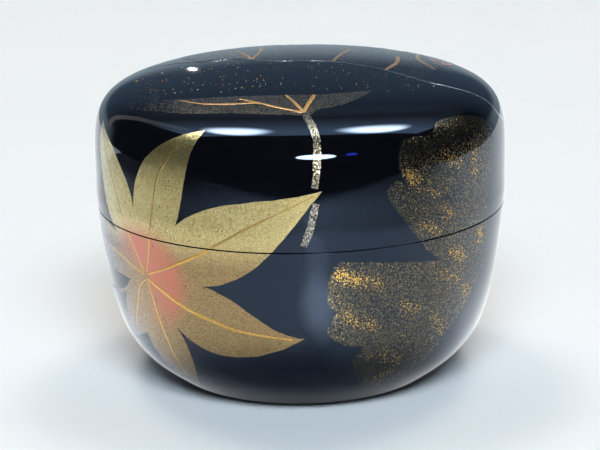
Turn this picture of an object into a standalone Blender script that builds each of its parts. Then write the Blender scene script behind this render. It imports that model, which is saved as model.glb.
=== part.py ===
"""A flat, round caddy of turned and lacquered wood, for powdered tea.

It comes apart into two pieces: a body with a thin upright rim round its mouth, and a domed lid
that slides down over that rim. Units are metres, +Z is up, and the origin is the centre of the
foot, on the surface that the caddy stands on. Both pieces are turned about the Z axis, so each
is a half section, given as points of (radius, height), spun once round.
"""

import math

import bmesh
import bpy
from mathutils import Vector

# Driving dimensions
DIAMETER = 0.082
RADIUS = DIAMETER / 2
SEGMENTS = 64  # facets round every turned surface

# Outside shape, as shares of the radius, with heights measured from the foot
FOOT_RADIUS = 0.624 * RADIUS
FOOT_RISE_ANGLE = 0.610  # radians from level, where the wall leaves the foot
FOOT_PULL = 0.317 * RADIUS
SEAM_RADIUS = 0.995 * RADIUS
SEAM_HEIGHT = 0.860 * RADIUS
SEAM_LEAN = 0.108  # how far the wall leans out for each unit of height at the seam
WALL_PULL = 0.643 * RADIUS
SKIRT_PULL = 0.084 * RADIUS
WIDEST_HEIGHT = 1.025 * RADIUS
SHOULDER_PULL = 0.315 * RADIUS
CROWN_RADIUS = 0.632 * RADIUS  # where the shoulder meets the shallow crown of the lid
CROWN_SLOPE = math.tan(0.165)
CROWN_PULL = 0.387 * RADIUS
HEIGHT = 1.546 * RADIUS

# The fit between the two pieces
GAP = 0.0003  # between lid and body, round the rim and at the seam
LID_WALL = 0.0024
RIM_WALL = 0.0015
RIM_HEIGHT = 0.0082  # how far the rim stands above the seam
EDGE = 0.0004  # rounding of the thin edges
RIM_OUTER = SEAM_RADIUS - LID_WALL - GAP
RIM_INNER = RIM_OUTER - RIM_WALL
RIM_TOP = SEAM_HEIGHT + RIM_HEIGHT
LID_BORE = RIM_OUTER + GAP
LEDGE_HEIGHT = SEAM_HEIGHT - GAP / 2
LID_BOTTOM = SEAM_HEIGHT + GAP / 2

# The inside and the underside
FLOOR_THICKNESS = 0.0040
FLOOR_RADIUS = 0.40 * RADIUS
CROWN_THICKNESS = 0.0026
BORE_TOP = WIDEST_HEIGHT + 0.10 * RADIUS
FOOT_RING = 0.0027  # width of the flat ring that the caddy rests on
FOOT_RECESS = 0.0009  # how far the underside is hollowed inside the ring

LACQUER_BLACK = (0.006, 0.006, 0.008, 1.0)
LACQUER_ROUGHNESS = 0.12


def curve(start, start_pull, end_pull, end, steps):
    """Points along a cubic curve in the section, both ends among them."""
    points = []
    for step in range(steps + 1):
        t = step / steps
        u = 1 - t
        points.append(start * u**3 + start_pull * 3 * u * u * t + end_pull * 3 * u * t * t + end * t**3)
    return points


def rounded(corner, before, after, size=EDGE):
    """Three points that round off a corner, which is met along before and left along after."""
    start = corner - before * size
    end = corner + after * size
    middle = corner + (after - before) * size * (1 - math.sqrt(0.5))
    return [start, middle, end]


def crown_height(radius):
    """Outside height of the lid's shallow crown at a radius."""
    return HEIGHT - 0.5 * CROWN_SLOPE * radius * radius / CROWN_RADIUS


def body_outside():
    """The wall of the body, up from the edge of the foot to the seam."""
    foot = Vector((FOOT_RADIUS, 0))
    seam = Vector((SEAM_RADIUS, LEDGE_HEIGHT))
    rise = Vector((math.cos(FOOT_RISE_ANGLE), math.sin(FOOT_RISE_ANGLE)))
    lean = Vector((SEAM_LEAN, 1)).normalized()
    return curve(foot, foot + rise * FOOT_PULL, seam - lean * WALL_PULL, seam, 12)


def body_inside():
    """The bowl, out from the middle of the floor and up to the inner face of the rim."""
    floor_edge = Vector((FLOOR_RADIUS, FLOOR_THICKNESS))
    wall_top = Vector((RIM_INNER, SEAM_HEIGHT - 0.10 * RADIUS))
    pull_out = floor_edge + Vector((0.32 * RADIUS, 0))
    pull_down = wall_top - Vector((0, 0.46 * RADIUS))
    return [Vector((0, FLOOR_THICKNESS))] + curve(floor_edge, pull_out, pull_down, wall_top, 9)


def body_section():
    """Half section of the body: bowl, rim, ledge at the seam, wall, foot ring and underside."""
    up, down, out = Vector((0, 1)), Vector((0, -1)), Vector((1, 0))
    rim_inner_edge = rounded(Vector((RIM_INNER, RIM_TOP)), up, out)
    rim_outer_edge = rounded(Vector((RIM_OUTER, RIM_TOP)), out, down)
    rim_foot = Vector((RIM_OUTER, LEDGE_HEIGHT))
    wall = list(reversed(body_outside()))
    ring_inner = FOOT_RADIUS - FOOT_RING
    underside = [
        Vector((ring_inner, 0)),
        Vector((ring_inner - FOOT_RECESS, FOOT_RECESS)),
        Vector((0, FOOT_RECESS)),
    ]
    return body_inside() + rim_inner_edge + rim_outer_edge + [rim_foot] + wall + underside


def lid_outside():
    """The lid from the middle of its crown, over the shoulder and down the skirt to the seam."""
    crown = [Vector((r, crown_height(r))) for r in (0, CROWN_RADIUS / 3, CROWN_RADIUS * 2 / 3)]
    crown_edge = Vector((CROWN_RADIUS, crown_height(CROWN_RADIUS)))
    outward = Vector((1, -CROWN_SLOPE)).normalized()
    widest = Vector((RADIUS, WIDEST_HEIGHT))
    seam = Vector((SEAM_RADIUS, LID_BOTTOM))
    lean = Vector((SEAM_LEAN, 1)).normalized()
    shoulder = curve(
        crown_edge, crown_edge + outward * CROWN_PULL, widest + Vector((0, SHOULDER_PULL)), widest, 10
    )
    skirt = curve(widest, widest - Vector((0, SKIRT_PULL)), seam + lean * SKIRT_PULL, seam, 3)
    return crown + shoulder + skirt[1:]


def lid_inside():
    """The lid's bore round the rim, up from the seam, and the hollow under its crown."""
    bottom = Vector((LID_BORE, LID_BOTTOM))
    bore_top = Vector((LID_BORE, BORE_TOP))
    crown_edge = Vector((CROWN_RADIUS, crown_height(CROWN_RADIUS) - CROWN_THICKNESS))
    outward = Vector((1, -CROWN_SLOPE)).normalized()
    hollow = curve(
        bore_top,
        bore_top + Vector((0, 0.16 * RADIUS)),
        crown_edge + outward * 0.26 * RADIUS,
        crown_edge,
        8,
    )
    crown = [Vector((r, crown_height(r) - CROWN_THICKNESS)) for r in (CROWN_RADIUS / 2, 0)]
    return [bottom] + hollow + crown


def lid_section():
    """Half section of the lid, outside and then inside."""
    return lid_outside() + lid_inside()


def lacquer(name):
    """Black lacquer under a clear gloss."""
    made = bpy.data.materials.new(name)
    made.use_nodes = True
    shader = made.node_tree.nodes["Principled BSDF"]
    shader.inputs["Base Color"].default_value = LACQUER_BLACK
    shader.inputs["Roughness"].default_value = LACQUER_ROUGHNESS
    shader.inputs["Metallic"].default_value = 0.0
    shader.inputs["Coat Weight"].default_value = 1.0
    return made


def turned(name, section, joint_height, finish):
    """A solid of revolution about Z, with its origin on the axis at joint_height."""
    origin = Vector((0, 0, joint_height))
    shape = bmesh.new()
    corners = [shape.verts.new(Vector((point.x, 0, point.y)) - origin) for point in section]
    profile = [shape.edges.new(pair) for pair in zip(corners, corners[1:])]
    bmesh.ops.spin(
        shape,
        geom=corners + profile,
        cent=(0, 0, 0),
        axis=(0, 0, 1),
        angle=math.tau,
        steps=SEGMENTS,
        use_merge=True,
    )
    bmesh.ops.remove_doubles(shape, verts=shape.verts[:], dist=1e-6)
    bmesh.ops.recalc_face_normals(shape, faces=shape.faces[:])
    mesh = bpy.data.meshes.new(name)
    shape.to_mesh(mesh)
    shape.free()
    mesh.shade_smooth()
    mesh.set_sharp_from_angle(angle=math.radians(35))
    mesh.materials.append(finish)
    piece = bpy.data.objects.new(name, mesh)
    piece.location = origin
    bpy.context.scene.collection.objects.link(piece)
    return piece


def make_body():
    """The turned cup with its rim. It stays where it is, so its origin is the part's."""
    return turned("body", body_section(), 0.0, lacquer("body_lacquer"))


def make_lid():
    """The domed lid. It lifts along the Z axis, so its origin is on that axis, at the seam."""
    return turned("lid", lid_section(), SEAM_HEIGHT, lacquer("lid_lacquer"))


for old in list(bpy.data.objects):
    bpy.data.objects.remove(old, do_unlink=True)

make_body()
make_lid()
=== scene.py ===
"""Looks of a flat, round tea caddy of black lacquer with sprinkled gold leaves.

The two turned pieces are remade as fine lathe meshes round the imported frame. The leaves are thin
reliefs that follow the skin: each one is drawn flat, in millimetres, and laid on the side by its
distance round and up the skin, or on the lid straight down from above. Where a leaf crosses the
seam it is cut there, and each half rides on its own piece.
"""

import math
import random

import bpy
import numpy as np
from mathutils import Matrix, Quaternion, Vector
from mathutils.geometry import delaunay_2d_cdt


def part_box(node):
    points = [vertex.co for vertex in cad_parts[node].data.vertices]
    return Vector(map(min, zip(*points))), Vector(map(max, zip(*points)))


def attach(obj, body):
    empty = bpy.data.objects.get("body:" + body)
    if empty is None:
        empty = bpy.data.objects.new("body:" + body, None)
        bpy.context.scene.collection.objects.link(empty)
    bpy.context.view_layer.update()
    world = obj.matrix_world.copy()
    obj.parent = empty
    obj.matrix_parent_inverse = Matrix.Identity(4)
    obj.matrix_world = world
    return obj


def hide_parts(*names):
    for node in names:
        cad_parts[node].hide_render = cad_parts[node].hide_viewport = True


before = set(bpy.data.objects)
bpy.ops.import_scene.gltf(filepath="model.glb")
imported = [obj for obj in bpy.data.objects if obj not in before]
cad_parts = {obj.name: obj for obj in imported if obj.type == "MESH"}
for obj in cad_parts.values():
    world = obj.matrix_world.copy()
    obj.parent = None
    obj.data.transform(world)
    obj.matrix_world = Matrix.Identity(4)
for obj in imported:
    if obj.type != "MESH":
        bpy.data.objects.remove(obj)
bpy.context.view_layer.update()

# ---- sizes from the frame ----
LID_LOW, LID_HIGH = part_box("lid")
HEIGHT = LID_HIGH[2]
RIM_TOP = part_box("body")[1][2]
HEIGHT_IN_RADII = 1.546
RADIUS = HEIGHT / HEIGHT_IN_RADII
MM = RADIUS / 41  # a millimetre of the drawings, at the size that this caddy has
CAD_GAP = 0.0003
SEAM = LID_LOW[2] - CAD_GAP / 2

# ---- section of the two pieces, as in the part's own design ----
FOOT_RADIUS = 0.624 * RADIUS
FOOT_RISE_ANGLE = 0.610
FOOT_PULL = 0.317 * RADIUS
SEAM_RADIUS = 0.995 * RADIUS
SEAM_LEAN = 0.108
WALL_PULL = 0.643 * RADIUS
SKIRT_PULL = 0.084 * RADIUS
WIDEST_HEIGHT = 1.025 * RADIUS
SHOULDER_PULL = 0.315 * RADIUS
CROWN_RADIUS = 0.632 * RADIUS
CROWN_SLOPE = math.tan(0.165)
CROWN_PULL = 0.387 * RADIUS
LID_WALL = 2.4 * MM
RIM_WALL = 1.5 * MM
FIT_GAP = 0.12 * MM  # the close sliding fit, finer than the CAD's
SEAM_GAP = 0.17 * MM
SEAM_EDGE = 0.06 * MM  # rounding of the two edges that meet at the seam
RIM_EDGE = 0.45 * MM
FOOT_EDGE = 0.35 * MM
RIM_OUTER = SEAM_RADIUS - LID_WALL - FIT_GAP
RIM_INNER = RIM_OUTER - RIM_WALL
LID_BORE = RIM_OUTER + FIT_GAP
FLOOR_THICKNESS = 4.0 * MM
FLOOR_RADIUS = 0.40 * RADIUS
CROWN_THICKNESS = 2.6 * MM
BORE_TOP = WIDEST_HEIGHT + 0.10 * RADIUS
FOOT_RING = 2.7 * MM
FOOT_RECESS = 0.9 * MM
LATHE_STEPS = 224

# ---- the sprinkled decoration ----
LIFT = 0.045 * MM  # how proud of the lacquer a leaf stands
SINK = -0.060 * MM  # how deep its underside lies in the lacquer
SIDES_OF_SEAM = (("lid", 1), ("body", -1))
# In drawing millimetres:
GRID = 0.95  # spacing of the points inside a leaf
SEAM_OPENING = (SEAM_GAP / 2 + SEAM_EDGE) / MM  # from the seam to where a leaf stops


# ======== curves and the skin ========
def bezier(start, start_pull, end_pull, end, steps):
    """Points along a cubic curve, both ends among them."""
    t = np.linspace(0, 1, steps + 1)[:, None]
    u = 1 - t
    points = [np.asarray(p, float) for p in (start, start_pull, end_pull, end)]
    return points[0] * u**3 + points[1] * 3 * u * u * t + points[2] * 3 * u * t * t + points[3] * t**3


def through(start, first, second, end, steps=14):
    """A cubic curve that passes through two points a third and two thirds of the way along."""
    p, a, b, q = (np.asarray(point, float) for point in (start, first, second, end))
    pull_out = (-5 * p + 18 * a - 9 * b + 2 * q) / 6
    pull_in = (2 * p - 9 * a + 18 * b - 5 * q) / 6
    return bezier(p, pull_out, pull_in, q, steps)


def smooth(points, steps=6):
    """A smooth open curve through all the points."""
    p = [np.asarray(point, float) for point in points]
    p = [2 * p[0] - p[1]] + p + [2 * p[-1] - p[-2]]
    made = []
    for before, a, b, after in zip(p, p[1:], p[2:], p[3:]):
        made.extend(bezier(a, a + (b - before) / 6, b - (after - a) / 6, b, steps)[:-1])
    made.append(p[-2])
    return np.array(made)


def unit(x, y):
    return np.array([x, y]) / math.hypot(x, y)


def crown_height(radius):
    return HEIGHT - 0.5 * CROWN_SLOPE * radius * radius / CROWN_RADIUS


def wall_curve(steps):
    """The body's wall in section, up from the foot to the seam."""
    foot = np.array([FOOT_RADIUS, 0.0])
    seam = np.array([SEAM_RADIUS, SEAM])
    rise = unit(math.cos(FOOT_RISE_ANGLE), math.sin(FOOT_RISE_ANGLE))
    return bezier(foot, foot + rise * FOOT_PULL, seam - unit(SEAM_LEAN, 1) * WALL_PULL, seam, steps)


def lid_curve(steps):
    """The lid's outside in section, up from the seam, over the shoulder and in to the middle."""
    seam = np.array([SEAM_RADIUS, SEAM])
    widest = np.array([RADIUS, WIDEST_HEIGHT])
    crown_edge = np.array([CROWN_RADIUS, crown_height(CROWN_RADIUS)])
    skirt = bezier(
        seam, seam + unit(SEAM_LEAN, 1) * SKIRT_PULL, widest - (0, SKIRT_PULL), widest, steps // 5
    )
    shoulder = bezier(
        widest,
        widest + (0, SHOULDER_PULL),
        crown_edge + unit(1, -CROWN_SLOPE) * CROWN_PULL,
        crown_edge,
        steps,
    )
    crown = np.array([(r, crown_height(r)) for r in np.linspace(CROWN_RADIUS, 0, steps // 2)])
    return np.concatenate([skirt, shoulder[1:], crown[1:]])


SKIN = np.concatenate([wall_curve(400), lid_curve(400)[1:]])
SKIN_STEP = np.linalg.norm(np.diff(SKIN, axis=0), axis=1)
SKIN_ARC = np.concatenate([[0], np.cumsum(SKIN_STEP)])
SKIN_ALONG = np.gradient(SKIN, SKIN_ARC, axis=0)
SEAM_ARC = SKIN_ARC[400] / MM  # in drawing millimetres
WIDEST = int(np.argmax(SKIN[:, 0]))
OVER_THE_TOP = slice(None, WIDEST - 1, -1)  # from the middle of the lid out to its widest


def skin_point(angle, arc, lift):
    """A point on the skin, lifted off it, and the way out there. The angle turns from the front to +X."""
    radius = np.interp(arc, SKIN_ARC, SKIN[:, 0])
    height = np.interp(arc, SKIN_ARC, SKIN[:, 1])
    outward = np.interp(arc, SKIN_ARC, SKIN_ALONG[:, 1])
    upward = -np.interp(arc, SKIN_ARC, SKIN_ALONG[:, 0])
    around = Vector((math.sin(angle), -math.cos(angle), 0))
    normal = (around * outward + Vector((0, 0, upward))).normalized()
    return around * radius + Vector((0, 0, height)) + normal * lift, normal


def on_side(x, y, lift=0.0):
    """Drawing millimetres to the side: x goes round from the front, y goes up the skin from the foot."""
    return skin_point(x * MM / RADIUS, y * MM, lift)


def on_lid(x, y, lift=0.0):
    """Drawing millimetres to the top of the lid, straight down from above, with -y to the front."""
    arc = np.interp(math.hypot(x, y) * MM, SKIN[OVER_THE_TOP, 0], SKIN_ARC[OVER_THE_TOP])
    return skin_point(math.atan2(x, -y), arc, lift)


# ======== meshes ========
def made_mesh(name, vertices, faces):
    mesh = bpy.data.meshes.new(name)
    mesh.from_pydata(vertices, [], faces)
    return mesh


def add_object(name, mesh, body, slot, finishes):
    """Puts a finished mesh in the scene, riding on a CAD body."""
    for finish in finishes:
        mesh.materials.append(finish)
    piece = bpy.data.objects.new(name, mesh)
    bpy.context.scene.collection.objects.link(piece)
    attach(piece, body)
    return piece


def rounded(corner, before, after, size, steps=5):
    """A round corner of a section, which is met along before and left along after."""
    corner, before, after = (np.asarray(v, float) for v in (corner, before, after))
    turn = np.linspace(0, math.pi / 2, steps + 1)[:, None]
    return corner - before * size * (1 - np.sin(turn)) + after * size * (1 - np.cos(turn))


def turned(name, stretches, body, slot, finishes):
    """A solid of revolution. Its section goes from the axis up the outside and back to the axis.

    The section comes in stretches of (number of the finish, points).
    """
    section = np.concatenate([points for _, points in stretches])
    finish_of_row = [number for number, points in stretches for _ in points]
    angles = [math.tau * step / LATHE_STEPS for step in range(LATHE_STEPS)]
    run = np.diff(section, axis=0)  # a longer stretch of section counts for more in a corner's normal
    run = np.concatenate([[(run[0][0], 0)], run, [(run[-1][0], 0)]])
    leans = run[:-1] + run[1:]
    leans /= np.linalg.norm(leans, axis=1)[:, None]
    vertices = [(0, 0, section[0][1]), (0, 0, section[-1][1])]
    normals = [(0, 0, -1), (0, 0, 1)]
    for (radius, height), (run_out, run_up) in zip(section[1:-1], leans[1:-1]):
        for angle in angles:
            vertices.append((radius * math.cos(angle), radius * math.sin(angle), height))
            normals.append((run_up * math.cos(angle), run_up * math.sin(angle), -run_out))
    rows = len(section) - 2
    faces = []
    finish_of_face = []

    def at(row, step):
        return 2 + row * LATHE_STEPS + step % LATHE_STEPS

    for step in range(LATHE_STEPS):
        faces.append((0, at(0, step + 1), at(0, step)))
        faces.append((1, at(rows - 1, step), at(rows - 1, step + 1)))
        finish_of_face.extend([finish_of_row[0], finish_of_row[-1]])
    for row in range(rows - 1):
        for step in range(LATHE_STEPS):
            faces.append((at(row, step), at(row, step + 1), at(row + 1, step + 1), at(row + 1, step)))
            finish_of_face.append(finish_of_row[row + 2])
    mesh = made_mesh(name, vertices, faces)
    mesh.polygons.foreach_set("material_index", finish_of_face)
    mesh.shade_smooth()
    mesh.normals_split_custom_set_from_vertices(normals)
    return add_object(name, mesh, body, slot, finishes)


def part_of(line, level, side, closed):
    """The part of a line above (side 1) or below (side -1) a level of its second column, ended on it."""
    kept = []
    for number, (a, b) in enumerate(zip(line, np.roll(line, -1, axis=0))):
        before, after = side * (a[1] - level), side * (b[1] - level)
        if before >= 0:
            kept.append(a)
        if before * after < 0 and (closed or number < len(line) - 1):
            kept.append(a + (b - a) * (level - a[1]) / (b[1] - a[1]))
    return np.array(kept).reshape(-1, line.shape[1])


def inside(point, outline):
    """True if a point is inside a closed outline."""
    x, y = point
    a, b = outline, np.roll(outline, -1, axis=0)
    crosses = (a[:, 1] > y) != (b[:, 1] > y)
    climb = np.where(crosses, b[:, 1] - a[:, 1], 1)
    edge_x = a[:, 0] + (b[:, 0] - a[:, 0]) * (y - a[:, 1]) / climb
    return bool(np.count_nonzero(crosses & (x < edge_x)) % 2)


def thin_edges(outline, closest=0.12):
    """An outline without points that crowd each other, and without long straight runs."""
    kept = [outline[0]]
    for point in outline[1:]:
        if np.linalg.norm(point - kept[-1]) > closest:
            kept.append(point)
    if np.linalg.norm(kept[-1] - kept[0]) <= closest:
        kept.pop()
    finer = []
    for a, b in zip(kept, kept[1:] + kept[:1]):
        parts = max(1, math.ceil(np.linalg.norm(b - a) / GRID))
        finer.extend(a + (b - a) * part / parts for part in range(parts))
    return np.array(finer)


def inlay(name, outline, place, body, slot, finish, glow=None):
    """A thin closed relief in the shape of a flat outline, laid on the skin by place.

    Glow is a number for each point that the finish can read.
    """
    outline = thin_edges(np.asarray(outline, float))
    count = len(outline)
    low, high = outline.min(axis=0), outline.max(axis=0)
    points = [Vector(point) for point in outline]
    for row, y in enumerate(np.arange(low[1] + GRID / 2, high[1], GRID)):
        for x in np.arange(low[0] + GRID / 2 * (row % 2), high[0], GRID):
            near = np.linalg.norm(outline - (x, y), axis=1).min()
            if near > GRID * 0.45 and inside((x, y), outline):
                points.append(Vector((x, y)))
    edges = [(i, (i + 1) % count) for i in range(count)]
    flat, _, triangles, _, _, _ = delaunay_2d_cdt(points, edges, [], 1, 1e-5)
    triangles = [tuple(face) for face in triangles]
    total = len(flat)
    tops = [place(p.x, p.y, LIFT) for p in flat]
    bottoms = [place(p.x, p.y, SINK) for p in flat]
    sides = dict.fromkeys(edge for a, b, c in triangles for edge in ((a, b), (b, c), (c, a)))
    rim = [(a, b) for a, b in sides if (b, a) not in sides]
    faces = triangles + [(c + total, b + total, a + total) for a, b, c in triangles]
    faces += [(a, a + total, b + total, b) for a, b in rim]
    mesh = made_mesh(name, [p for p, _ in tops + bottoms], faces)
    mesh.update()
    loop_normals = [tops[corner][1] for face in triangles for corner in face]
    loop_normals += [-bottoms[corner][1] for face in triangles for corner in reversed(face)]
    loop_normals += [face.normal for face in mesh.polygons[2 * len(triangles) :] for _ in range(4)]
    mesh.shade_smooth()
    mesh.normals_split_custom_set(loop_normals)
    if glow:
        values = mesh.attributes.new("glow", "FLOAT", "POINT")
        values.data.foreach_set("value", [glow(p.x, p.y) for p in flat] * 2)
    return add_object(name, mesh, body, slot, [finish])


def tube(start, ring, rows):
    """Faces of a closed tube: rings with equal numbers of points, and a cap at either end."""
    last = start + (rows - 1) * ring
    faces = [tuple(range(start, start + ring)), tuple(reversed(range(last, last + ring)))]
    for row in range(start, last, ring):
        for k in range(ring):
            a, b = row + k, row + (k + 1) % ring
            faces.append((a, a + ring, b + ring, b))
    return faces


def strokes(name, paths, place, body, slot, finish, rise):
    """Raised lines in one piece. Each path is (points, width at each of them)."""
    profile = [(-0.5, 0), (-0.42, 0.55), (-0.18, 0.95), (0.18, 0.95), (0.42, 0.55), (0.5, 0)]
    vertices, faces = [], []
    for points, widths in paths:
        points = np.asarray(points, float)
        along = np.gradient(points, axis=0)
        along /= np.linalg.norm(along, axis=1)[:, None]
        faces += tube(len(vertices), len(profile), len(points))
        for (x, y), (run_x, run_y), width in zip(points, along, widths):
            for across, up in profile:
                lift = LIFT + rise * MM * up if up else SINK
                vertices.append(place(x - run_y * width * across, y + run_x * width * across, lift)[0])
    mesh = made_mesh(name, vertices, faces)
    mesh.shade_smooth()
    mesh.set_sharp_from_angle(angle=math.radians(70))
    return add_object(name, mesh, body, slot, [finish])


def flakes(name, spots, place, body, slot, finish, seed):
    """Small many-sided flakes of metal in one piece. Each spot is (x, y, size, tone)."""
    draw = random.Random(seed)
    vertices, faces, tones = [], [], []
    for x, y, size, tone in spots:
        sides = draw.choice((5, 6, 6, 7))
        faces += tube(len(vertices), sides, 2)
        turn = draw.uniform(0, math.tau)
        tilt = draw.uniform(0, 0.24)
        tilt_turn = draw.uniform(0, math.tau)
        reach = [size * draw.uniform(0.36, 0.60) for _ in range(sides)]
        for level in (LIFT * 1.6, SINK):
            for k in range(sides):
                angle = turn + math.tau * k / sides
                dx, dy = reach[k] * math.cos(angle), reach[k] * math.sin(angle)
                lean = tilt * MM * (dx * math.cos(tilt_turn) + dy * math.sin(tilt_turn))
                vertices.append(place(x + dx, y + dy, level + max(lean, -LIFT) * (level > 0))[0])
        tones.extend([tone] * (2 * sides))
    mesh = made_mesh(name, vertices, faces)
    values = mesh.attributes.new("tone", "FLOAT", "POINT")
    values.data.foreach_set("value", tones)
    mesh.update()
    return add_object(name, mesh, body, slot, [finish])


# ======== materials ========
LACQUER = (0.0010, 0.0010, 0.0016)
COOL_SHEEN = (0.44, 0.61, 0.92)  # what black lacquer reflects is a little blue
LACQUER_SHEEN = {"IOR": 1.7, "Specular_Tint": COOL_SHEEN}


class Finish:
    """A node material under construction, round one Principled shader if it has one."""

    def __init__(self, name, owner=None):
        self.material = owner or bpy.data.materials.new(name)
        self.material.use_nodes = True
        self.tree = self.material.node_tree
        self.shader = self.tree.nodes.get("Principled BSDF")
        self.place = self.add("ShaderNodeTexCoord").outputs["Object"]

    def add(self, kind, **settings):
        made = self.tree.nodes.new(kind)
        for key, value in settings.items():
            setattr(made, key, value)
        return made

    def link(self, source, target):
        self.tree.links.new(source, target)

    def feed(self, socket, value):
        """Links an output, or sets a plain value. A colour is given without its alpha."""
        if isinstance(value, bpy.types.NodeSocket):
            self.link(value, socket)
        else:
            socket.default_value = (*value, 1) if socket.type == "RGBA" else value

    def noise(self, size, detail=3.0, where=None):
        """Noise with features of a size in metres, as an output from 0 to 1."""
        made = self.add("ShaderNodeTexNoise")
        made.inputs["Scale"].default_value = 1 / size
        made.inputs["Detail"].default_value = detail
        self.link(where or self.place, made.inputs["Vector"])
        return made.outputs["Fac"]

    def spread(self, value, low, high, from_low=0.3, from_high=0.7, kind="LINEAR"):
        """A value carried over from one range to another, and held at its ends."""
        made = self.add("ShaderNodeMapRange", interpolation_type=kind)
        self.link(value, made.inputs["Value"])
        ends = {"From Min": from_low, "From Max": from_high, "To Min": low, "To Max": high}
        for key, number in ends.items():
            made.inputs[key].default_value = number
        return made.outputs["Result"]

    def eased(self, value, low, high, from_low, from_high):
        """The same, with soft ends."""
        return self.spread(value, low, high, from_low, from_high, "SMOOTHSTEP")

    def axes(self, where=None):
        """The three parts of a place."""
        split = self.add("ShaderNodeSeparateXYZ")
        self.link(where or self.place, split.inputs[0])
        return split.outputs

    def math(self, operation, a, b=0.0):
        made = self.add("ShaderNodeMath", operation=operation)
        self.feed(made.inputs[0], a)
        self.feed(made.inputs[1], b)
        return made.outputs[0]

    def times(self, a, b):
        return self.math("MULTIPLY", a, b)

    def mix(self, factor, a, b):
        """One colour going over to another."""
        made = self.add("ShaderNodeMix", data_type="RGBA")
        self.feed(made.inputs["Factor"], factor)
        self.feed(made.inputs[6], a)
        self.feed(made.inputs[7], b)
        return made.outputs[2]

    def ramp(self, value, *stops):
        """Colours along a value; each stop is (position, colour)."""
        made = self.add("ShaderNodeValToRGB")
        elements = made.color_ramp.elements
        while len(elements) < len(stops):
            elements.new(0.5)
        for element, (position, color) in zip(elements, stops):
            element.position = position
            element.color = (*color, 1)
        self.link(value, made.inputs["Fac"])
        return made.outputs["Color"]

    def grains(self, size):
        """Powder grains of a size in metres: two random numbers and a random lean for each grain."""
        made = self.add("ShaderNodeTexVoronoi")
        made.inputs["Scale"].default_value = 1 / size
        self.link(self.place, made.inputs["Vector"])
        split = self.add("ShaderNodeSeparateColor")
        self.link(made.outputs["Color"], split.inputs["Color"])
        return split.outputs[0], split.outputs[1], made.outputs["Color"]

    def vectors(self, operation, **values):
        """A sum on vectors, with its sockets fed by name."""
        made = self.add("ShaderNodeVectorMath", operation=operation)
        for key, value in values.items():
            self.feed(made.inputs[{"a": 0, "b": 1, "scale": "Scale"}[key]], value)
        return made.outputs[0]

    def lean(self, random_color, amount):
        """A normal that leans a random way on each grain, so that grains glint one by one."""
        centred = self.vectors("SUBTRACT", a=random_color, b=(0.5, 0.5, 0.5))
        scaled = self.vectors("SCALE", a=centred, scale=amount)
        normal = self.add("ShaderNodeNewGeometry").outputs["Normal"]
        leaning = self.vectors("NORMALIZE", a=self.vectors("ADD", a=scaled, b=normal))
        self.link(leaning, self.shader.inputs["Normal"])

    def bump(self, height, distance):
        made = self.add("ShaderNodeBump")
        made.inputs["Distance"].default_value = distance
        self.link(height, made.inputs["Height"])
        self.link(made.outputs["Normal"], self.shader.inputs["Normal"])

    def set(self, **values):
        """Sets or links the shader's own sockets by name, with _ for a space."""
        for key, value in values.items():
            self.feed(self.shader.inputs[key.replace("_", " ")], value)


def polished_lacquer():
    """Deep black lacquer, polished, with the faint unevenness of a hand-rubbed surface."""
    finish = Finish("black_lacquer")
    depth = finish.mix(finish.spread(finish.noise(0.012), 0, 1), LACQUER, (0.0018, 0.0017, 0.0024))
    rubbed = finish.noise(0.0022, 4.0)
    haze = finish.spread(finish.noise(0.018), 0.012, 0.045)
    finish.set(
        Base_Color=depth,
        Roughness=finish.math("ADD", haze, finish.spread(rubbed, 0, 0.015)),
        **LACQUER_SHEEN,
    )
    finish.bump(finish.noise(0.006, 2.0), 0.0000025)
    return finish.material


def inner_lacquer():
    """The inside: black lacquer left a little softer, with the turning just visible in it."""
    finish = Finish("inner_lacquer")
    stretch = finish.add("ShaderNodeMapping")
    stretch.inputs["Scale"].default_value = (0.05, 0.05, 1.0)
    finish.link(finish.place, stretch.inputs["Vector"])
    turning = finish.noise(0.0004, 2.0, where=stretch.outputs[0])
    finish.set(
        Base_Color=finish.mix(finish.spread(finish.noise(0.009), 0, 1), LACQUER, (0.006, 0.0052, 0.005)),
        Roughness=finish.spread(turning, 0.10, 0.20),
        **LACQUER_SHEEN,
    )
    finish.bump(turning, 0.000006)
    return finish.material


def powder(
    name, size, cover, tones, rough=0.3, lean=0.35, blush=None, clear=1.0, shaded_low_tones=None, thinning=False
):
    """Sprinkled metal powder of a grain size, with the share of the lacquer that it covers.

    The shaded low tones are for what lies below the seam: darker, browner tones that paint the shade on the
    body's side, which faces down towards the shaded table. A thinning powder covers less where glow is
    less.
    """
    finish = Finish(name)
    first, second, random_color = finish.grains(size)
    if thinning:
        dense = finish.add("ShaderNodeAttribute", attribute_name="glow").outputs["Fac"]
        cover = finish.times(dense, cover)
    patchy = finish.spread(finish.noise(0.004), -0.08, 0.08)
    covered = finish.math("LESS_THAN", first, finish.math("ADD", patchy, cover))
    metal = finish.ramp(second, *zip((0.0, 0.45, 1.0), tones))
    metallic = finish.times(covered, 0.975)
    if shaded_low_tones:
        # Painted shade: below the seam the powder takes the darker, browner low tones.
        below = finish.spread(finish.axes()[2], 1, 0, SEAM - 0.004, SEAM + 0.004)
        metal = finish.mix(below, metal, finish.ramp(second, *zip((0.0, 1.0), shaded_low_tones)))
    if blush:
        glow = finish.add("ShaderNodeAttribute", attribute_name="glow").outputs["Fac"]
        uneven = finish.times(glow, finish.spread(finish.noise(0.0025), 0.8, 1.1))
        metal = finish.mix(finish.math("MINIMUM", uneven, 1.0), metal, blush)
        metallic = finish.times(covered, finish.spread(glow, 0.975, 0.65, 0, 1))
    finish.set(
        Base_Color=finish.mix(covered, LACQUER, metal),
        Metallic=metallic,
        Roughness=finish.math("ADD", finish.times(covered, rough - 0.04), 0.04),
        Coat_Weight=clear,
        Coat_Roughness=0.03,
        Coat_IOR=1.55,
        **LACQUER_SHEEN,
    )
    finish.lean(random_color, finish.times(covered, lean))
    return finish.material


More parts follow.
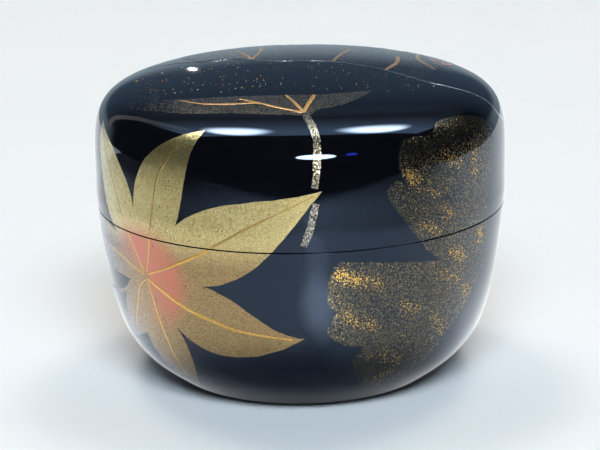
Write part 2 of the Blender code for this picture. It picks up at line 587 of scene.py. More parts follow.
def drawn_line(name, dark, pale, rough=0.36):
    """A raised line of close metal powder, with fine grains in it."""
    finish = Finish(name)
    first, second, random_color = finish.grains(0.00011)
    finish.set(
        Base_Color=finish.ramp(second, (0.0, dark), (0.6, pale), (1.0, pale)),
        Metallic=finish.spread(first, 0.85, 1.0, 0, 1),
        Roughness=rough,
        Coat_Weight=0.6,
        Coat_Roughness=0.05,
    )
    finish.lean(random_color, 0.4)
    return finish.material


def flake_metal(name, deep, bright, rough=0.25):
    """Coarse flakes, each with its own tone and a faintly beaten face."""
    finish = Finish(name)
    tone = finish.add("ShaderNodeAttribute", attribute_name="tone").outputs["Fac"]
    uneven = finish.math("ADD", tone, finish.spread(finish.noise(0.00008), -0.15, 0.15))
    finish.set(
        Base_Color=finish.ramp(uneven, (0.0, deep), (1.0, bright)),
        Metallic=1.0,
        Roughness=finish.spread(finish.noise(0.0001), rough - 0.07, rough + 0.1),
    )
    return finish.material


def table_paper():
    """A plain pale sheet with a faint tooth."""
    finish = Finish("table_paper")
    cloudy = finish.spread(finish.noise(0.05), 0, 1)
    paper = finish.mix(cloudy, (0.500, 0.520, 0.530), (0.510, 0.528, 0.537))
    finish.set(Base_Color=paper, Roughness=0.6, Specular_IOR_Level=0.3)
    finish.bump(finish.noise(0.0012, 4.0), 0.00002)
    return finish.material


# ======== the two turned pieces ========
def body_section():
    """Half section of the body, down from the middle of the underside, up the wall, over the rim and in."""
    up, down, out = (0, 1), (0, -1), (1, 0)
    ring_inner = FOOT_RADIUS - FOOT_RING
    rise = unit(math.cos(FOOT_RISE_ANGLE), math.sin(FOOT_RISE_ANGLE))
    wall = wall_curve(70)
    ledge = SEAM - SEAM_GAP / 2
    wall_top = SEAM_RADIUS - SEAM_LEAN * SEAM_GAP / 2
    floor_edge = np.array([FLOOR_RADIUS, FLOOR_THICKNESS])
    inner_top = np.array([RIM_INNER, SEAM - 0.10 * RADIUS])
    bowl = bezier(
        floor_edge, floor_edge + (0.32 * RADIUS, 0), inner_top - (0, 0.46 * RADIUS), inner_top, 36
    )
    outside = [
        [(0, FOOT_RECESS), (ring_inner / 2, FOOT_RECESS)],
        rounded((ring_inner - FOOT_RECESS, FOOT_RECESS), out, unit(1, -1), 0.3 * MM, 3),
        rounded((ring_inner, 0), unit(1, -1), out, 0.2 * MM, 3),
        rounded((FOOT_RADIUS, 0), out, rise, FOOT_EDGE),
        [point for point in wall if FOOT_EDGE < point[1] < ledge - 1.5 * SEAM_EDGE],
        rounded((wall_top, ledge), up, (-1, 0), SEAM_EDGE),
        rounded((RIM_OUTER, ledge), (-1, 0), up, 0.1 * MM, 2),
        rounded((RIM_OUTER, RIM_TOP), up, (-1, 0), RIM_EDGE),
        rounded((RIM_INNER, RIM_TOP), (-1, 0), down, RIM_EDGE),
    ]
    well = [bowl[::-1], [(FLOOR_RADIUS / 2, FLOOR_THICKNESS), (0, FLOOR_THICKNESS)]]
    return [(0, np.concatenate(outside)), (1, np.concatenate(well))]


def lid_section():
    """Half section of the lid, up from the middle of the hollow, down the bore, round the edge and over."""
    crown_edge = np.array([CROWN_RADIUS, crown_height(CROWN_RADIUS) - CROWN_THICKNESS])
    bore_top = np.array([LID_BORE, BORE_TOP])
    hollow = bezier(
        bore_top,
        bore_top + (0, 0.16 * RADIUS),
        crown_edge + unit(1, -CROWN_SLOPE) * 0.26 * RADIUS,
        crown_edge,
        30,
    )
    bottom = SEAM + SEAM_GAP / 2
    skin = lid_curve(80)
    seam_radius = SEAM_RADIUS + SEAM_LEAN * SEAM_GAP / 2
    crown = [(r, crown_height(r) - CROWN_THICKNESS) for r in np.linspace(0, CROWN_RADIUS, 10)[:-1]]
    hollow_part = [crown, hollow[::-1], rounded((LID_BORE, bottom), (0, -1), (1, 0), 0.3 * MM, 4)]
    outside = [
        rounded((seam_radius, bottom), (1, 0), (0, 1), SEAM_EDGE),
        [point for point in skin if point[1] > bottom + 1.5 * SEAM_EDGE or point[0] < CROWN_RADIUS],
    ]
    return [(1, np.concatenate(hollow_part)), (0, np.concatenate(outside))]


def make_body(outer, inner):
    body = turned("body_lacquered", body_section(), "body", "body_lacquer", [outer, inner])
    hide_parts("body")


def make_lid(outer, inner):
    lid = turned("lid_lacquered", lid_section(), "lid", "lid_lacquer", [outer, inner])
    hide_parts("lid")


# ======== the motifs, in drawing millimetres ========
# A maple leaf round its middle. Each lobe: the notch before it, two points out, its tip, two points back.
MAPLE_LOBES = [
    ((-8.9, 6.9), (-13.2, 12.9), (-15.6, 20.1), (-17.0, 27.5), (-10.0, 24.1), (-4.3, 19.1)),
    ((-1.5, 12.2), (0.4, 21.1), (6.7, 27.3), (15.1, 30.8), (12.8, 24.6), (11.4, 18.1)),
    ((9.6, 11.8), (18.4, 16.5), (28.4, 18.3), (38.5, 20.0), (31.8, 11.6), (24.3, 4.1)),
    ((14.4, 0.4), (21.5, -2.3), (27.8, -6.7), (34.9, -9.3), (25.6, -13.2), (15.6, -13.7)),
    ((6.7, -9.1), (9.0, -15.0), (8.0, -21.2), (4.4, -26.4), (0.4, -22.8), (-2.4, -18.1)),
    ((-3.8, -13.0), (-6.6, -14.1), (-9.6, -15.4), (-12.3, -16.4), (-11.7, -11.0), (-9.5, -6.2)),
    ((-6.1, -2.0), (-13.5, -1.9), (-21.5, -0.8), (-30.0, 3.0), (-23.5, 7.0), (-15.5, 8.2)),
]
# Its veins, each with its widths from the middle out, and then its stem.
MAPLE_VEINS = [
    ((0.30, 0.40, 0.22), [(-0.4, 0.8), (-4.0, 7.8), (-8.7, 16.4), (-12.7, 22.6), (-15.4, 26.6)]),
    ((0.30, 0.52, 0.30), [(0.6, 1.0), (2.7, 8.4), (4.3, 15.7), (5.4, 20.3), (7.4, 23.7), (11.0, 28.0)]),
    (
        (0.35, 0.70, 0.50, 0.25),
        [(0.9, 0.5), (7.8, 3.5), (15.7, 7.5), (23.6, 12.3), (31.5, 16.4), (37.0, 19.2)],
    ),
    (
        (0.40, 0.95, 0.90, 0.70, 0.35),
        [(0.6, -0.4), (3.9, -1.9), (10.2, -4.7), (15.7, -6.4), (21.6, -8.1), (32.5, -9.5)],
    ),
    ((0.26, 0.42, 0.24), [(0.3, -0.8), (1.7, -7.0), (3.5, -15.0), (4.5, -22.7)]),
    ((0.22, 0.30, 0.18), [(-0.2, -0.8), (-2.8, -3.0), (-5.2, -7.6), (-8.0, -12.2)]),
    ((0.24, 0.34, 0.18), [(-0.6, 0.2), (-4.0, 1.2), (-9.9, 2.5), (-15.8, 2.8), (-19.8, 2.6)]),
]
MAPLE_STEM = [(0.0, 0.0), (-5.4, -2.5), (-9.9, -5.3), (-15.8, -7.0), (-24.0, -8.0)]

# A ginkgo leaf of two lobes that meet in a deep notch. In this and the leaves below, each line is a smooth
# stretch of the outline that starts where the stretch before it ends, and the last one closes the outline.
GINKGO = [
    [(41.3, 26.7), (30.6, 15.0), (26.9, 11.6), (20.8, 8.2), (13.8, 10.7), (10.4, 16.5), (12.5, 20.4)],
    [(8.4, 21.1), (4.9, 23.8), (6.4, 27.9)],
    [(4.9, 29.6), (4.9, 34.0), (6.4, 37.8), (9.4, 38.2), (16.1, 37.4), (26.9, 35.9), (31.3, 34.8)],
    [(26.2, 37.4), (20.2, 44.6), (16.2, 50.5), (17.8, 52.8), (20.5, 51.4)],
    [(18.7, 55.8), (20.2, 59.7), (22.9, 60.4), (27.2, 60.1)],
    [(30.3, 62.5), (37.6, 62.3), (44.9, 59.8), (47.2, 55.3), (43.8, 46.2), (44.3, 39.0), (46.6, 31.4)],
]
# Streaks of thicker gold in the ginkgo: start, end, how many flakes.
GINKGO_STREAKS = [
    ((6.4, 35.9), (11.0, 34.2), 225),
    ((10.0, 34.8), (15.5, 33.0), 105),
    ((7.8, 27.2), (14.8, 24.3), 135),
    ((15.8, 18.9), (21.5, 15.5), 75),
    ((16.8, 12.1), (19.5, 13.1), 35),
    ((27.6, 33.5), (36.0, 30.1), 90),
    ((28.2, 24.3), (32.3, 20.4), 60),
    ((36.6, 28.6), (40.0, 25.8), 50),
    ((20.0, 28.4), (24.5, 26.0), 55),
    ((19.8, 54.3), (22.9, 51.9), 165),
    ((23.5, 43.7), (28.2, 41.2), 90),
    ((28.9, 45.6), (31.3, 44.2), 60),
    ((25.0, 50.3), (27.4, 48.7), 40),
    ((28.6, 57.2), (33.2, 53.6), 85),
    ((38.3, 55.8), (38.3, 50.0), 75),
    ((31.3, 36.9), (36.3, 34.4), 105),
    ((41.3, 39.3), (41.3, 36.4), 75),
]

# The leaf on the front of the lid's top, seen straight down, with the front at -y.
TOP_LEAF = [
    [(-30.4, -15.4), (-27.6, -15.9), (-26.3, -17.7), (-27.1, -19.2)],
    [(-22.8, -21.0), (-15.7, -23.2), (-4.6, -24.5), (4.6, -24.4), (13.7, -21.5)],
    [(11.1, -25.8), (7.6, -29.4), (3.5, -31.4), (2.0, -33.4)],
    [(0.0, -33.4)],
    [(-5.6, -32.6), (-12.7, -30.9), (-19.2, -28.8), (-24.3, -25.8), (-31.4, -19.7), (-33.4, -15.7)],
]
TOP_VEINS = [
    ((0.70, 0.80, 0.60), [(0.8, -32.4), (-0.8, -28.4), (-2.5, -24.6)]),
    ((0.75, 1.00, 0.90), [(0.8, -32.4), (1.8, -28.4), (2.9, -24.8)]),
    ((0.60, 0.70, 0.55), [(0.6, -32.4), (-3.5, -30.4), (-7.6, -27.7), (-11.1, -25.1)]),
    ((0.55, 0.60, 0.30), [(-7.6, -27.7), (-12.7, -27.1), (-18.2, -25.3), (-22.5, -21.8)]),
]
TOP_STEM = [(0.95, 70.6), (1.3, 68.6), (2.3, 65.6), (3.1, 62.4), (3.2, 59.4), (2.9, 55.6), (2.6, 52.7)]
TOP_STEM_END = [(2.7, 49.8), (1.8, 45.6), (0.4, 41.8)]

# The far leaf behind the mist, also seen straight down.
SILVER_LINE = [
    (-31.0, 9.0), (-23.7, 7.3), (-18.2, 3.6), (-13.7, 3.6), (-9.1, 0.9), (-4.6, -1.6), (2.7, -2.1),
    (6.8, -2.7), (13.7, -5.5), (17.3, -7.7), (22.8, -11.4), (26.0, -12.8), (31.9, -12.9), (37.7, -11.5),
    (39.3, -9.2), (39.9, -7.4),
]
FAR_LEAF = [
    [(-24.0, 18.0), (-16.0, 33.0)],
    [(-6.0, 28.0), (0.0, 16.0)],
    [(4.0, 27.0), (13.0, 34.0)],
    [(18.0, 24.0), (18.0, 11.0)],
    [(22.0, 20.0), (28.0, 24.0)],
    [(30.0, 8.0), (24.0, -11.8)],
    [(17.3, -7.7), (6.8, -2.7), (-4.6, -1.6), (-13.7, 3.6), (-20.0, 5.2)],
]
FAR_VEINS = [
    ((0.9, 0.8), [(-9.1, 1.4), (-7.7, 10.9), (-7.7, 19.1)]),
    ((0.8, 0.6), [(-9.1, 1.4), (-11.4, 9.8), (-13.7, 18.2)]),
    ((0.4, 0.3), [(-9.1, 1.4), (-14.0, 9.0), (-18.7, 16.4)]),
    ((0.8, 0.9), [(6.8, -2.3), (8.7, 5.5), (10.5, 13.7)]),
    ((0.7, 1.0, 0.9), [(16.9, -7.3), (19.4, -0.2), (20.0, 7.3)]),
    ((0.6, 0.9, 0.9), [(26.9, -1.8), (24.1, 7.3), (25.0, 18.2)]),
]
# Round outlines: the mist of loose flakes on the lid, and the red spot on the far leaf.
MIST = [(-33, 3), (-12, 0), (8, -4), (27, -14), (17, -22), (2, -22), (-14, -21), (-30, -14)]
RED_SPOT = [(28.2, 4.6), (30.6, 6.6), (31.6, 11.0), (30.6, 16.5), (28.4, 18.0), (26.8, 12.6), (26.9, 8.4)]


def drawn(stretches):
    """A closed outline from stretches that are smooth inside and meet in corners."""
    starts = [stretch[-1] for stretch in stretches[-1:] + stretches]
    return np.concatenate([smooth([start, *rest])[:-1] for start, rest in zip(starts, stretches)])


def maple_outline():
    edge = []
    for lobe, following in zip(MAPLE_LOBES, MAPLE_LOBES[1:] + MAPLE_LOBES[:1]):
        notch, out_a, out_b, tip, back_a, back_b = lobe
        edge.extend(through(notch, out_a, out_b, tip, 20)[:-1])
        edge.extend(through(tip, back_a, back_b, following[0], 20)[:-1])
    return np.array(edge)


def moved(points, x, y, turn=0.0, scale=1.0):
    """Drawing points scaled, turned (in degrees) and moved."""
    cosine, sine = math.cos(math.radians(turn)), math.sin(math.radians(turn))
    across, up = np.asarray(points, float).T * scale
    return np.stack([x + across * cosine - up * sine, y + across * sine + up * cosine], 1)


def ragged(outline, amount, seed):
    """The small unevenness of an edge that was sprinkled by hand."""
    draw = random.Random(seed)
    return outline + np.array([(draw.gauss(0, amount), draw.gauss(0, amount)) for _ in outline])


def spaced(widths, count):
    """Widths given at even steps along a line, read off at a number of its points."""
    return np.interp(np.linspace(0, 1, count), np.linspace(0, 1, len(widths)), widths)


def band(points, widths):
    """The outline of a line that is drawn with a brush, with its width at even steps along it."""
    points = smooth(points)
    along = np.gradient(points, axis=0)
    along /= np.linalg.norm(along, axis=1)[:, None]
    half = spaced(widths, len(points))[:, None] / 2
    across = np.stack([-along[:, 1], along[:, 0]], 1) * half
    return np.concatenate([points + across, (points - across)[::-1]])


def both_halves(name, outline, slot, finish, glow=None):
    """A relief on the side, cut at the seam where it crosses it."""
    for body, side in SIDES_OF_SEAM:
        half = part_of(outline, SEAM_ARC + side * SEAM_OPENING, side, True)
        if len(half) > 2:
            inlay(f"{name}_{body}", half, on_side, body, slot, finish, glow=glow)


def drawn_halves(name, lines, slot, finish, rise):
    """Raised lines on the side, cut at the seam. Each line is (widths, points)."""
    pieces = {"lid": [], "body": []}
    for widths, points in lines:
        curve = smooth(points, 12)
        line = np.column_stack([curve, spaced(widths, len(curve))])
        for body, side in SIDES_OF_SEAM:
            stretch = part_of(line, SEAM_ARC + side * SEAM_OPENING, side, False)
            if len(stretch) > 3:
                pieces[body].append((stretch[:, :2], stretch[:, 2]))
    for body, side in SIDES_OF_SEAM:

        def cut_at_seam(x, y, lift):
            """The side, with nothing past the seam's edge."""
            return on_side(x, side * max(side * y, side * SEAM_ARC + SEAM_OPENING), lift)

        if pieces[body]:
            strokes(f"{name}_{body}", pieces[body], cut_at_seam, body, slot, finish[body], rise)


def make_maple(name, x, y, turn, scale, fill, veins):
    """One maple leaf on the side, with its veins and stem, and a warm blush in its middle."""
    bow_reach, bow_half_width, bow_edge = 5.4, 6.6, 4.0  # drawing millimetres
    bow_turn, bow_spread = 0.62, 0.72  # radians up from the right, and a share of the circle's cosine
    strength, lid_fade, lid_least = 0.9, 6.0, 0.3  # it fades to the least over these millimetres of the lid

    def blush(px, py):
        """The red lies in a bow round the right of the leaf's middle."""
        away = moved([(px - x, py - y)], 0, 0, -turn, 1 / scale)[0]
        bow = np.clip((bow_half_width - abs(math.hypot(*away) - bow_reach)) / bow_edge, 0, 1)
        sideways = np.clip(bow_spread + math.cos(math.atan2(away[1], away[0]) - bow_turn), 0, 1)
        fade = np.clip(1 - max(py - SEAM_ARC, 0) / lid_fade, lid_least, 1)
        return float(bow * sideways * fade * strength)

    leaf = ragged(moved(maple_outline(), x, y, turn, scale), 0.05, name)
    both_halves(name, leaf, "gold_powder", fill, blush)
    lines = [(np.array(widths) * scale, moved(points, x, y, turn, scale)) for widths, points in MAPLE_VEINS]
    drawn_halves(f"{name}_veins", lines, "gold_powder", veins, 0.02)
    stem = band(moved(MAPLE_STEM, x, y, turn, scale), np.array([0.5, 0.8, 0.9]) * scale)
    both_halves(f"{name}_stem", stem, "gold_powder", fill)


def scattered(draw, outline, count, sizes, tones):
    """Flakes spread over an outline."""
    low, high = outline.min(axis=0), outline.max(axis=0)
    spots = []
    while len(spots) < count:
        x, y = draw.uniform(low[0], high[0]), draw.uniform(low[1], high[1])
        if inside((x, y), outline):
            spots.append((x, y, draw.uniform(*sizes), draw.uniform(*tones)))
    return spots


def streaked(draw, start, end, count, spread):
    """Flakes crowded along a line."""
    spots = []
    for _ in range(count):
        t = draw.random()
        x = start[0] + (end[0] - start[0]) * t + draw.gauss(0, spread)
        y = start[1] + (end[1] - start[1]) * t + draw.gauss(0, spread)
        spots.append((x, y, draw.uniform(0.12, 0.25), draw.uniform(0.4, 1.0)))
    return spots


def flakes_by_half(name, spots, slot, finish, seed):
    """Flakes on the side, shared out to the two pieces, with none across the seam."""
    margin = 0.45
    for body, side in SIDES_OF_SEAM:
        part = [spot for spot in spots if side * (spot[1] - SEAM_ARC) > margin]
        if part:
            flakes(f"{name}_{body}", part, on_side, body, slot, finish, seed)


def make_ginkgo(name, x, y, turn, scale, fill, flake, crowd):
    """One ginkgo leaf of two lobes on the side: thin fine powder, and coarse flakes crowded in streaks."""
    draw = random.Random(name)
    placed = moved(drawn(GINKGO), x, y, turn, scale)
    both_halves(name, ragged(placed, 0.06, name), "gold_powder", fill)
    spots = scattered(draw, placed, int(1300 * crowd), (0.08, 0.16), (0.1, 1.0))
    for start, end, count in GINKGO_STREAKS:
        start, end = moved([start, end], x, y, turn, scale)
        crowded = streaked(draw, start, end, int(count * crowd), 0.75 * scale)
        spots += [spot for spot in crowded if inside(spot[:2], placed)]
    flakes_by_half(f"{name}_flakes", spots, "gold_powder", flake, name)


def with_widths(lines):
    """Smooth paths with a width at every point, from lines of (widths, points)."""
    curves = [(smooth(points), widths) for widths, points in lines]
    return [(curve, spaced(widths, len(curve))) for curve, widths in curves]


def make_top(fill, vein, faint_vein, silver, stem, far_fill, red, gold_flake, silver_flake, red_flake):
    """What lies on top of the lid: a leaf at the front, mist, a silver line, and a far leaf."""

    def dense(x, y):
        """The powder of the front leaf thins out to the left."""
        return float(np.clip((x + 33.0) / 13.0, 0.16, 1))

    inlay("top_leaf", ragged(drawn(TOP_LEAF), 0.06, 1), on_lid, "lid", "gold_powder", fill, glow=dense)
    strokes("top_leaf_veins", with_widths(TOP_VEINS), on_lid, "lid", "gold_powder", vein, 0.03)
    for name, points, widths in (
        ("top_leaf_stem", TOP_STEM, [1.9, 1.7, 1.5, 1.45, 1.4, 1.2]),
        ("top_leaf_stem_end", TOP_STEM_END, [1.3, 1.35, 1.3]),
    ):
        inlay(name, ragged(band(points, widths), 0.05, name), on_side, "lid", "silver_powder", stem)
    inlay("far_leaf", ragged(drawn(FAR_LEAF), 0.06, 2), on_lid, "lid", "gold_powder", far_fill)
    strokes("far_leaf_veins", with_widths(FAR_VEINS), on_lid, "lid", "gold_powder", faint_vein, 0.02)
    line = with_widths([((0.10, 0.24, 0.24, 0.18), SILVER_LINE)])
    strokes("silver_line", line, on_lid, "lid", "silver_powder", silver, 0.015)
    inlay("red_spot", smooth(RED_SPOT + RED_SPOT[:1])[:-1], on_lid, "lid", "gold_powder", red)
    draw = random.Random(5)
    mist = smooth(MIST + MIST[:1])[:-1]
    for color, finish, slot, count, seed in (
        ("gold", gold_flake, "gold_powder", 240, 6),
        ("silver", silver_flake, "silver_powder", 240, 7),
        ("red", red_flake, "gold_powder", 110, 8),
    ):
        spots = scattered(draw, mist, count, (0.08, 0.22), (0, 1))
        flakes(f"mist_{color}", spots, on_lid, "lid", slot, finish, seed)


# ======== the studio ========
def card(name, corners, finish):
    """A flat card that belongs to the studio."""
    mesh = bpy.data.meshes.new(name)
    mesh.from_pydata(corners, [], [tuple(range(len(corners)))])
    mesh.materials.append(finish)
    made = bpy.data.objects.new(name, mesh)
    bpy.context.scene.collection.objects.link(made)
    return made


def hide(made, *rays):
    """Keeps a card out of sight of some kinds of ray."""
    for ray in rays:
        setattr(made, f"visible_{ray}", False)


def seen_only_in_reflections(made):
    hide(made, "camera", "diffuse", "transmission", "shadow")


def only_lights(made):
    """For a lamp that doesn't show in the lacquer, where a card of its own stands for it."""
    hide(made, "camera", "glossy", "transmission")


def oval(x, y, wide, deep, height, sides=48):
    """Corners of a level oval, given by its middle and its half sizes."""
    turns = [math.tau * side / sides for side in range(sides)]
    return [(x + wide * math.cos(turn), y + deep * math.sin(turn), height) for turn in turns]


def unlit(name):
    """A material for a lamp or a veil, which has no surface of its own."""
    finish = Finish(name)
    finish.tree.nodes.remove(finish.shader)
    return finish


def round_fade(finish, middle, reach, height=0.0):
    """A value that is 1 in the middle of a level oval patch and falls evenly to 0 at its rim."""
    shift = finish.add("ShaderNodeMapping")
    (x, y), (wide, deep) = middle, reach
    shift.inputs["Location"].default_value = (-x / wide, -y / deep, -height)
    shift.inputs["Scale"].default_value = (1 / wide, 1 / deep, 1)
    finish.link(finish.place, shift.inputs["Vector"])
    patch = finish.add("ShaderNodeTexGradient", gradient_type="SPHERICAL")
    finish.link(shift.outputs[0], patch.inputs["Vector"])
    return patch.outputs["Fac"]


def lamp_finish(name, color, strength):
    """A lamp's face, almost even."""
    finish = unlit(name)
    emission = finish.add("ShaderNodeEmission")
    finish.feed(emission.inputs["Color"], color)
    finish.link(emission.outputs[0], finish.tree.nodes["Material Output"].inputs["Surface"])
    almost_even = finish.spread(finish.noise(0.3), 0.98 * strength, 1.02 * strength)
    finish.link(almost_even, emission.inputs["Strength"])
    return finish.material


def veil_finish(name, level, light=None):
    """A clear card that adds light by a level, or, with no light of its own, dims what is behind it."""
    finish = unlit(name)
    clear = finish.add("ShaderNodeBsdfTransparent")
    emission = finish.add("ShaderNodeEmission")
    finish.feed(emission.inputs["Color"], light or (0.03, 0.034, 0.04))
    if light:
        finish.link(level(finish), emission.inputs["Strength"])
        both = finish.add("ShaderNodeAddShader")
        ends = both.inputs[0], both.inputs[1]
    else:
        both = finish.add("ShaderNodeMixShader")
        finish.link(level(finish), both.inputs["Fac"])
        ends = both.inputs[1], both.inputs[2]
    finish.link(clear.outputs[0], ends[0])
    finish.link(emission.outputs[0], ends[1])
    finish.link(both.outputs[0], finish.tree.nodes["Material Output"].inputs["Surface"])
    return finish.material


def facing(azimuth, elevation, distance, wide, high, sides=32):
    """Corners of an oval that faces the caddy. Azimuth is in degrees from the front towards +X."""
    spin, rise = math.radians(azimuth), math.radians(elevation)
    away = Vector((math.sin(spin) * math.cos(rise), -math.cos(spin) * math.cos(rise), math.sin(rise)))
    across = Vector((math.cos(spin), math.sin(spin), 0))
    up = across.cross(-away).normalized()
    middle = Vector((0, 0, HEIGHT / 2)) + away * distance
    return [middle + across * x + up * y for x, y, _ in oval(0, 0, wide / 2, high / 2, 0, sides)]


def oblong(x0, x1, y0, y1, height=0.0):
    """Corners of a level rectangle."""
    return [(x0, y0, height), (x1, y0, height), (x1, y1, height), (x0, y1, height)]


def make_table(paper):
    """A pale sheet. Only its near part shows in the lacquer, as the real table ended there."""
    left, right, front, back = -0.36, 0.36, -0.24, 0.50
    far = 3.0
    card("table", oblong(left, right, front, back), paper)
    hide(card("table_front", oblong(-far, far, -far, front), paper), "glossy")
    hide(card("table_back", oblong(-far, far, back, far), paper), "glossy")
    hide(card("table_left", oblong(-far, left, front, back), paper), "glossy")
    hide(card("table_right", oblong(right, far, front, back), paper), "glossy")


def veil(name, corners, level, light=None):
    """A level veil over the table or overhead, which only the lacquer sees."""
    seen_only_in_reflections(card(name, corners, veil_finish(name, level, light)))


def make_veils():
    """Veils over the table, for how its light falls off and rises, and for a lit patch, in the lacquer."""
    glint_place, glint_reach = (0.0085, -0.074), (0.0125, 0.022)
    streak_place, streak_reach = (0.011, -0.13), (0.011, 0.10)
    shade_place, shade_reach = (0, -0.34 * RADIUS), (1.15 * RADIUS, 1.15 * RADIUS)

    def shade(f):
        return f.eased(round_fade(f, shade_place, shade_reach), 0, 0.72, 0, 0.45)

    # Painted light: brightens the table's reflection beside and behind the caddy, most near it.
    def sides(f):
        behind = f.spread(f.axes()[1], 0, 1, -0.0315, -0.004)
        near = f.eased(round_fade(f, (0, -0.01), (0.085, 0.085)), 0.34, 0.78, 0, 0.45)
        return f.times(behind, near)

    # Painted shade: darkens the table's reflection in front, more the further out from the middle.
    def corners(f):
        ahead = f.spread(f.axes()[1], 1, 0, -0.10, -0.05)
        away = f.eased(round_fade(f, (0, 0), (0.23, 0.28)), 0.70, 0, 0, 0.5)
        return f.times(away, ahead)

    def glint(f):
        brushed = f.add("ShaderNodeMapping")
        brushed.inputs["Scale"].default_value = (1, 0.15, 1)
        f.link(f.place, brushed.inputs["Vector"])
        grain = f.spread(f.noise(0.0012, 3.0, brushed.outputs[0]), 0.75, 1.25)
        patch = f.eased(round_fade(f, glint_place, glint_reach), 0, 1.5, 0, 0.7)
        return f.times(patch, grain)

    # Painted glint: a faint long streak of light on the table in front, seen only in the lacquer.
    def streak(f):
        return f.eased(round_fade(f, streak_place, streak_reach), 0, 0.5, 0, 0.6)

    # Painted shade: darkens the table's reflection towards its front end.
    def front_end(f):
        return f.eased(f.axes()[1], 0, 1, -0.185, -0.225)

    # Painted shade: darkens the table's reflection towards the left.
    def left_shade(f):
        return f.eased(f.axes()[0], 0, 0.95, -0.10, -0.24)

    side, front, back = 0.36, -0.30, 0.50
    pale = (0.96, 0.98, 1.0)
    veil("table_shade", oval(*shade_place, *shade_reach, 0.0003), shade)
    veil("table_side_light", oblong(-side, side, -0.04, back, 0.0006), sides, pale)
    veil("table_front_shade", oblong(-side, side, front, -0.05, 0.0009), corners)
    veil("table_end", oblong(-side, side, front, -0.16, 0.0012), front_end)
    veil("table_left_shade", oblong(-side, -0.10, front, 0.125, 0.0015), left_shade)
    veil("table_glint", oval(*glint_place, *glint_reach, 0.0018), glint, (1.0, 0.93, 0.86))
    veil("table_glint_streak", oval(*streak_place, *streak_reach, 0.0021), streak, (0.85, 0.95, 1.0))


def make_lamps():
    """Two big lamps overhead and one by the camera, with cards for how each shows in the lacquer."""
    high = 5.0  # the lamps
    warm = lamp_finish("warm_lamp", (1.0, 0.85, 0.69), 23.6)
    for name, x in (("lamp_left", -0.27), ("lamp_right", 0.27)):
        only_lights(card(name, oval(x * high, 0.31 * high, 0.147 * high, 0.147 * high, high), warm))
    cool = lamp_finish("cool_lamp", (0.79, 0.90, 1.0), 41)
    only_lights(card("lamp_front", facing(4.0, 44, 6.0, 4.0, 1.6), cool))

    up = 0.95  # the cards that stand for them
    front, back = -0.24 * up, 0.30 * up
    for name, x0, x1 in (("card_left", -0.62 * up, -0.10 * up), ("card_right", 0.14 * up, 0.78 * up)):
        middle = ((x0 + x1) / 2, (front + back) / 2)
        reach = ((x1 - x0) / 2, (back - front) / 2)

        def soft(f):
            strip = f.eased(round_fade(f, middle, reach, up), 0, 27, 0.04, 0.60)
            return f.times(strip, f.eased(f.axes()[1], 1, 0, -0.02 * up, back))

        veil(name, oval(*middle, *reach, up), soft, (1.0, 0.97, 0.92))

    # Painted reflections with no lamp of the scene behind them: a glow over the ceiling and a dim beam
    # across it.
    def glow(f):
        fading = f.spread(f.axes()[1], 1, 0.28, 0, 0.62 * up)
        ending = f.eased(f.axes()[1], 1, 0, 0.72 * up, 1.3 * up)
        return f.times(f.times(fading, fading), ending)

    sky = [(-0.95, -0.22), (-1.3, 1.3), (1.2, 1.3), (1.2, -0.22)]
    veil("ceiling_glow", [(x * up, y * up, up + 0.01) for x, y in sky], glow, (0.9, 1.15, 1.35))
    beam = [(-0.66, 0.14), (-0.80, 0.50), (-1.10, 1.05), (-2.0, 2.15), (-3.6, 3.9), (-15.5, 15.5)]
    beam += [(-14.0, 12.0), (-3.2, 2.9), (-1.75, 1.42), (-1.25, 0.85), (-0.98, 0.40), (-0.80, 0.12)]
    dim = lamp_finish("ceiling_beam", (0.50, 0.43, 0.38), 0.9)
    corners = [(x * up, y * up, up + 0.03) for x, y in beam]
    seen_only_in_reflections(card("ceiling_beam", corners, dim))
    # Cards seen only in the lacquer: the front one stands for the lamp by the camera; the blue and far ones
    # paint highlights of lights that no lamp here gives.
    for name, where, color, strength in (
        ("card_front", (8.6, 18.7, 2.4, 0.88, 0.37), (1.0, 1.0, 1.0), 34),
        ("card_blue", (28.5, 19.5, 2.4, 0.27, 0.20), (0.06, 0.12, 1.0), 5),
        ("card_far", (-173.4, 12.3, 2.4, 0.014, 0.10), (1.0, 1.0, 1.0), 36),
    ):
        seen_only_in_reflections(card(name, facing(*where), lamp_finish(name, color, strength)))


def make_room():
    """A pale room for the camera, and a dim cool one for the light and the reflections."""
    world = bpy.data.worlds.new("room")
    bpy.context.scene.world = world
    room = Finish("room", world)
    shown = room.tree.nodes["Background"]
    room.feed(shown.inputs["Color"], (0.82, 0.87, 0.90))
    direction = room.axes(room.add("ShaderNodeTexCoord").outputs["Generated"])
    black, dim = (0.022, 0.024, 0.030), (0.055, 0.085, 0.12)
    cool, pale = (0.085, 0.135, 0.20), (0.38, 0.47, 0.54)
    depth = room.spread(direction[1], 0, 1, -1, 1)
    colors = room.ramp(depth, (0.79, black), (0.84, dim), (0.94, cool), (0.985, cool), (1.0, pale))
    low = room.eased(direction[2], 1, 0, 0.03, 0.16)
    behind = room.spread(direction[1], 0, 1, 0.55, 0.75)
    horizon = room.times(low, behind)
    around = room.add("ShaderNodeBackground")
    room.link(room.mix(horizon, colors, (0.36, 0.46, 0.52)), around.inputs["Color"])
    mix = room.add("ShaderNodeMixShader")
    room.link(room.add("ShaderNodeLightPath").outputs["Is Camera Ray"], mix.inputs["Fac"])
    room.link(around.outputs[0], mix.inputs[1])
    room.link(shown.outputs[0], mix.inputs[2])
    room.link(mix.outputs[0], room.tree.nodes["World Output"].inputs["Surface"])


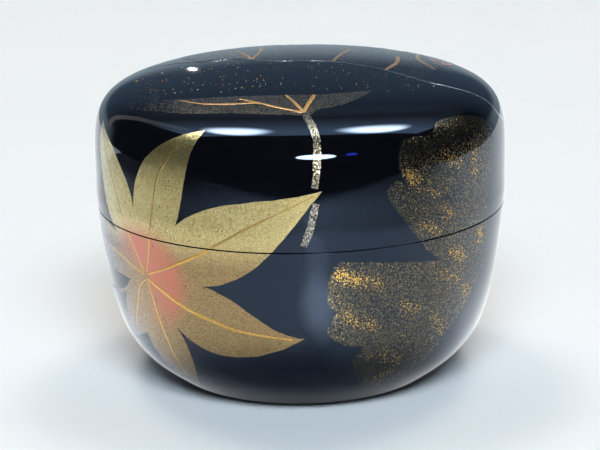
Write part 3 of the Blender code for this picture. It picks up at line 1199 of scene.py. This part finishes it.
def make_camera():
    """The photograph's view: straight from the front, and about 16 degrees above level."""
    data = bpy.data.cameras.new("camera")
    camera = bpy.data.objects.new("camera", data)
    bpy.context.scene.collection.objects.link(camera)
    rise = math.radians(15.92)
    away = 10.48 * RADIUS
    target = Vector((0, 0, 0.7 * RADIUS))
    offset = Vector((0, -math.cos(rise), math.sin(rise))) * away
    camera.location = target + offset
    roll = Quaternion((0, 0, 1), math.radians(-0.95))
    camera.rotation_mode = "QUATERNION"
    camera.rotation_quaternion = (-offset).to_track_quat("-Z", "Y") @ roll
    data.sensor_width = 36
    data.lens = 127.3
    data.shift_x = -0.002167  # a share of the picture's width
    data.shift_y = 0.003333
    data.clip_start = 0.01
    data.clip_end = 20
    bpy.context.scene.camera = camera
    bpy.context.scene.view_settings.view_transform = "Standard"


# ======== putting it together ========
lacquer = polished_lacquer()
make_body(lacquer, inner_lacquer())
make_lid(lacquer, inner_lacquer())

leaf_gold = powder(
    "leaf_gold",
    0.00012,
    1.02,
    [(0.54, 0.38, 0.11), (0.90, 0.70, 0.27), (1.0, 0.92, 0.50)],
    rough=0.29,
    lean=0.26,
    blush=(0.60, 0.17, 0.09),
    clear=0.6,
    # darker tones below the seam: painted shade
    shaded_low_tones=[(0.18, 0.105, 0.035), (0.53, 0.36, 0.16)],
)
vein_gold = drawn_line("vein_gold", (0.54, 0.28, 0.04), (0.86, 0.52, 0.12))
soft_vein = drawn_line("soft_vein", (0.40, 0.24, 0.06), (0.66, 0.44, 0.14))
top_vein = drawn_line("top_vein", (0.46, 0.24, 0.06), (0.72, 0.44, 0.17), 0.45)
faint_gold = drawn_line("faint_gold", (0.38, 0.19, 0.05), (0.60, 0.35, 0.12), 0.45)
line_silver = drawn_line("line_silver", (0.30, 0.31, 0.32), (0.62, 0.64, 0.66), 0.3)
silver_tones = [(0.12, 0.10, 0.06), (0.33, 0.295, 0.20), (0.80, 0.75, 0.59)]
stem_silver = powder("stem_silver", 0.00013, 0.62, silver_tones, lean=0.4)
thin_tones = [(0.06, 0.055, 0.04), (0.14, 0.12, 0.075), (0.54, 0.45, 0.26)]
thin_gold = powder("thin_gold", 0.00010, 0.32, thin_tones, rough=0.26, lean=0.34, clear=0.0)
grey_tones = [(0.17, 0.145, 0.105), (0.34, 0.285, 0.20), (0.68, 0.55, 0.37)]
grey_gold = powder("grey_gold", 0.00010, 0.54, grey_tones, clear=0.0, thinning=True)
far_tones = [(0.18, 0.13, 0.08), (0.28, 0.18, 0.09), (0.55, 0.34, 0.14)]
far_gold = powder("far_gold", 0.00013, 0.16, far_tones, clear=0.0)
red_tones = [(0.60, 0.10, 0.07), (0.85, 0.20, 0.14), (0.98, 0.36, 0.26)]
spot_red = powder("spot_red", 0.00016, 0.95, red_tones, rough=0.5)
gold_flake = flake_metal("gold_flake", (0.60, 0.23, 0.03), (1.0, 0.72, 0.20), 0.2)
silver_flake = flake_metal("silver_flake", (0.6, 0.6, 0.58), (0.95, 0.95, 0.92))
red_flake = flake_metal("red_flake", (0.6, 0.08, 0.04), (0.9, 0.30, 0.14))

veins = {"lid": soft_vein, "body": vein_gold}
make_maple("front_maple", -34.6, 32.1, 0, 1, leaf_gold, veins)
make_ginkgo("front_ginkgo", 0, 0, 0, 1, thin_gold, gold_flake, 1)
make_top(
    grey_gold, top_vein, faint_gold, line_silver, stem_silver, far_gold, spot_red,
    gold_flake, silver_flake, red_flake,
)
make_maple("back_maple", 101, 36, 158, 0.74, leaf_gold, veins)
make_ginkgo("back_ginkgo", 134, 2, 0, 0.86, thin_gold, gold_flake, 0.7)

make_table(table_paper())
make_veils()
make_lamps()
make_room()
make_camera()
